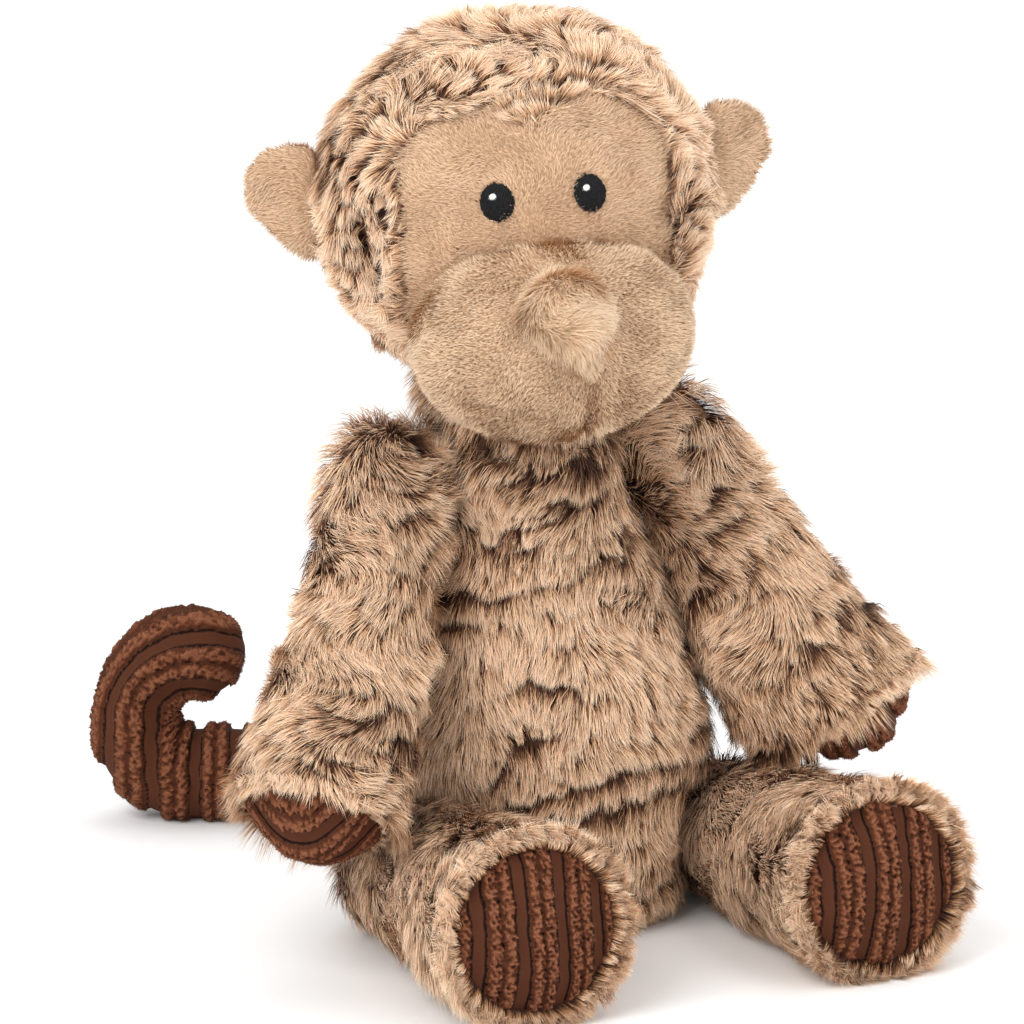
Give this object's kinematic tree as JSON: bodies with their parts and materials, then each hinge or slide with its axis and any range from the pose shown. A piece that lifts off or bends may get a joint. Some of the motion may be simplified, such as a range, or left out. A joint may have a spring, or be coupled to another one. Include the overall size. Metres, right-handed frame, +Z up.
{
  "type": "stuffed monkey",
  "caption": "Sitting stuffed monkey with long two-tone fur, a plush face and muzzle, corduroy palms, soles and curled tail, and floppy limbs.",
  "frame": {"origin": "middle of the flat underside of the seat, on the surface that the monkey sits on", "axes": "+Z up, the monkey faces -Y, its own left is +X"},
  "size_m": [0.202, 0.246, 0.2552],
  "materials": {
    "fur": "long pile, cream tips over dark brown roots",
    "face_plush": "short tan pile",
    "muzzle_plush": "short cream pile",
    "nose_plush": "brushed tan pile",
    "ear_plush": "short tan pile",
    "corduroy": "jumbo corduroy, paired wales",
    "black_thread": "satin stitch embroidery",
    "white_thread": "satin stitch embroidery",
    "stuffing": "loose polyester fibre",
    "pouch_cloth": "plain cotton cloth",
    "seam_tape": "woven tape"
  },
  "bodies": {
    "torso": {"torso_cover": "fur", "torso_stuffing": "stuffing", "seat_pellet_pouch": "pouch_cloth"},
    "neck": {"neck_cover": "fur", "neck_stuffing": "stuffing"},
    "head": {"head_cover": "fur", "face_panel": "face_plush", "head_stuffing": "stuffing", "muzzle_cover": "muzzle_plush", "muzzle_stuffing": "stuffing", "nose_cover": "nose_plush", "nose_stuffing": "stuffing", "eye_left": "black_thread", "eye_glint_left": "white_thread", "eye_right": "black_thread", "eye_glint_right": "white_thread"},
    "tail": {"tail_cover": "corduroy", "tail_stuffing": "stuffing"},
    "ear_left": {"ear_back_left": "ear_plush", "ear_front_left": "ear_plush"},
    "shoulder_left": {"shoulder_seam_left": "seam_tape"},
    "arm_left": {"arm_cover_left": "fur", "arm_stuffing_left": "stuffing", "paw_pad_left": "corduroy"},
    "hip_left": {"hip_seam_left": "seam_tape"},
    "leg_left": {"leg_cover_left": "fur", "leg_stuffing_left": "stuffing", "sole_pad_left": "corduroy"},
    "ear_right": {"ear_back_right": "ear_plush", "ear_front_right": "ear_plush"},
    "shoulder_right": {"shoulder_seam_right": "seam_tape"},
    "arm_right": {"arm_cover_right": "fur", "arm_stuffing_right": "stuffing", "paw_pad_right": "corduroy"},
    "hip_right": {"hip_seam_right": "seam_tape"},
    "leg_right": {"leg_cover_right": "fur", "leg_stuffing_right": "stuffing", "sole_pad_right": "corduroy"}
  },
  "joints": [
    {"name": "neck_turn", "type": "hinge", "parent": "torso", "child": "neck", "pos_m": [-0.00968, 0, 0.14969], "axis": [-0.0645, 0, 0.9979], "range_deg": [-29, 48]},
    {"name": "neck_nod", "type": "hinge", "parent": "neck", "child": "head", "pos_m": [-0.00968, 0, 0.14969], "axis": [0.9639, -0.2588, 0.0623], "range_deg": [-20, 12], "stiffness_Nm_per_rad": 0.6},
    {"name": "shoulder_swing_left", "type": "hinge", "parent": "torso", "child": "shoulder_left", "pos_m": [0.02797, 0, 0.13308], "axis": [-0.9979, 0, -0.0645], "range_deg": [-30, 85]},
    {"name": "shoulder_lift_left", "type": "hinge", "parent": "shoulder_left", "child": "arm_left", "pos_m": [0.02797, 0, 0.13308], "axis": [0, -1, 0], "range_deg": [0, 60]},
    {"name": "hip_swing_left", "type": "hinge", "parent": "torso", "child": "hip_left", "pos_m": [0.048, -0.006, 0.0183], "axis": [-1, 0, 0], "range_deg": [0, 8]},
    {"name": "hip_splay_left", "type": "hinge", "parent": "hip_left", "child": "leg_left", "pos_m": [0.048, -0.006, 0.0183], "axis": [0, 0, 1], "range_deg": [-6, 15]},
    {"name": "ear_fold_left", "type": "hinge", "parent": "head", "child": "ear_left", "pos_m": [0.04329, -0.01316, 0.21123], "axis": [-0.0645, 0, 0.9979], "range_deg": [-15, 15], "stiffness_Nm_per_rad": 0.01},
    {"name": "shoulder_swing_right", "type": "hinge", "parent": "torso", "child": "shoulder_right", "pos_m": [-0.04488, 0, 0.12837], "axis": [-0.9979, 0, -0.0645], "range_deg": [-30, 85]},
    {"name": "shoulder_lift_right", "type": "hinge", "parent": "shoulder_right", "child": "arm_right", "pos_m": [-0.04488, 0, 0.12837], "axis": [0, 1, 0], "range_deg": [0, 60]},
    {"name": "hip_swing_right", "type": "hinge", "parent": "torso", "child": "hip_right", "pos_m": [-0.048, -0.006, 0.0183], "axis": [-1, 0, 0], "range_deg": [0, 11]},
    {"name": "hip_splay_right", "type": "hinge", "parent": "hip_right", "child": "leg_right", "pos_m": [-0.048, -0.006, 0.0183], "axis": [0, 0, -1], "range_deg": [-6, 11]},
    {"name": "ear_fold_right", "type": "hinge", "parent": "head", "child": "ear_right", "pos_m": [-0.06525, 0.01599, 0.20422], "axis": [0.0645, 0, -0.9979], "range_deg": [-15, 15], "stiffness_Nm_per_rad": 0.01},
    {"name": "tail_swing", "type": "hinge", "parent": "torso", "child": "tail", "pos_m": [0, 0.049, 0.0125], "axis": [0, 0, 1], "range_deg": [-30, 30]}
  ]
}
